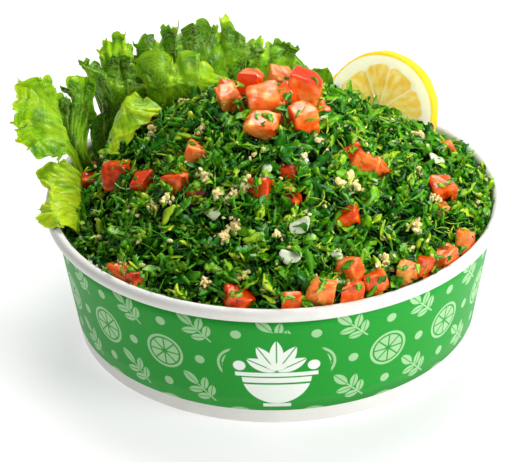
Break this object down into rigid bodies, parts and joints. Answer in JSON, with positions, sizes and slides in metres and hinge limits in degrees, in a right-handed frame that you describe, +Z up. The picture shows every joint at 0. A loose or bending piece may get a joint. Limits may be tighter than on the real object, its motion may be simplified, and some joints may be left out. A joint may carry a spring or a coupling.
{
  "type": "tabbouleh salad in a bowl",
  "caption": "heaped tabbouleh salad in a round printed paper bowl, with frilled lettuce, a lemon slice and diced tomato on top",
  "frame": {"origin": "On the table surface, under the middle of the whole object's box. The bowl's own axis is 7.0 mm to the +X side of it, because the lettuce leans out over the rim on the -X side.", "axes": "+Z is up. -Y is the front, from which the salad is seen with the lettuce at the left and the back and the lemon slice at the right. +X is to the right."},
  "size_m": [0.1988, 0.185, 0.1069],
  "materials": {
    "paper": "satin coated paper, printed green outside",
    "salad": "moist chopped herbs",
    "lemon": "wet cut fruit with a waxy rind",
    "tomato": "wet cut tomato",
    "lettuce": "fresh leaf, slightly glossy"
  },
  "bodies": {
    "root": {"bowl_wall": "paper", "bowl_base": "paper", "tabbouleh": "salad", "lemon_slice": "lemon", "tomato_dice_1": "tomato", "tomato_dice_2": "tomato", "tomato_dice_3": "tomato", "tomato_dice_4": "tomato", "tomato_dice_5": "tomato", "tomato_dice_6": "tomato", "tomato_dice_7": "tomato", "lettuce_left": "lettuce", "lettuce_rim": "lettuce", "lettuce_fold": "lettuce", "lettuce_tongue": "lettuce", "lettuce_back": "lettuce", "lettuce_tip": "lettuce"}
  },
  "joints": []
}
